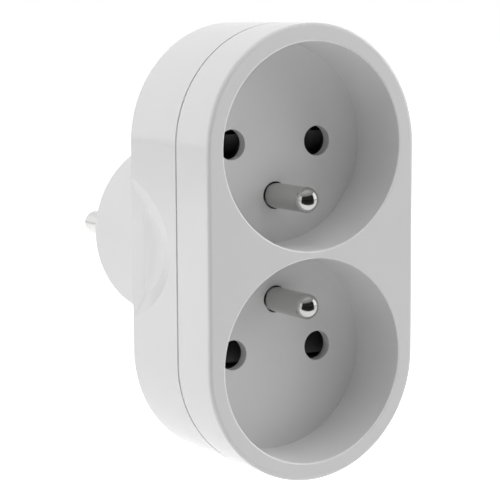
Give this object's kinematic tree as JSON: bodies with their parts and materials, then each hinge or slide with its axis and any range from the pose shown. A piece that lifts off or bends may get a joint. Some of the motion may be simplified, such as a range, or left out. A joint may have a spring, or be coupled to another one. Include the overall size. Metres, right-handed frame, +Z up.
{
  "type": "multi socket adapter",
  "caption": "Plug-in socket adapter: tall body with full round ends, recessed round sockets with earth pins and sprung shutters in front, round plug body with pins behind.",
  "frame": {"origin": "centre of the plug body's end face, between the plug pins", "axes": "+Z up along the body's long axis, +Y out along the plug pins towards the wall, so that the sockets face -Y; +X to the right seen from the front"},
  "size_m": [0.0452, 0.0722, 0.0852],
  "materials": {
    "housing": "satin moulded white, glossy on the sides",
    "shutter": "moulded black",
    "carrier": "moulded, fine matt",
    "plated_pin": "nickel plated, turned",
    "contact_brass": "stamped sheet brass",
    "spring_steel": "drawn wire",
    "screw_steel": "zinc plated"
  },
  "bodies": {
    "housing": {"front_cover": "housing", "rear_shell": "housing", "contact_carrier": "carrier", "upper_shutter_retainer": "carrier", "lower_shutter_retainer": "carrier", "upper_shutter_spring": "spring_steel", "lower_shutter_spring": "spring_steel", "live_busbar": "contact_brass", "neutral_busbar": "contact_brass", "earth_busbar": "contact_brass", "upper_live_contact": "contact_brass", "upper_neutral_contact": "contact_brass", "lower_live_contact": "contact_brass", "lower_neutral_contact": "contact_brass", "plug_earth_contact": "contact_brass", "live_plug_pin": "plated_pin", "neutral_plug_pin": "plated_pin", "upper_earth_pin": "plated_pin", "lower_earth_pin": "plated_pin", "case_screws": "screw_steel"},
    "upper_shutter": {"upper_shutter": "shutter"},
    "lower_shutter": {"lower_shutter": "shutter"}
  },
  "joints": [
    {"name": "upper_shutter_slide", "type": "slide", "parent": "housing", "child": "upper_shutter", "axis": [0, 0, 1], "range_m": [0, 0.006], "stiffness_N_per_m": 150, "springref_m": -0.005, "deforming": ["upper_shutter_spring"]},
    {"name": "lower_shutter_slide", "type": "slide", "parent": "housing", "child": "lower_shutter", "axis": [0, 0, -1], "range_m": [0, 0.006], "stiffness_N_per_m": 150, "springref_m": -0.005, "deforming": ["lower_shutter_spring"]}
  ]
}
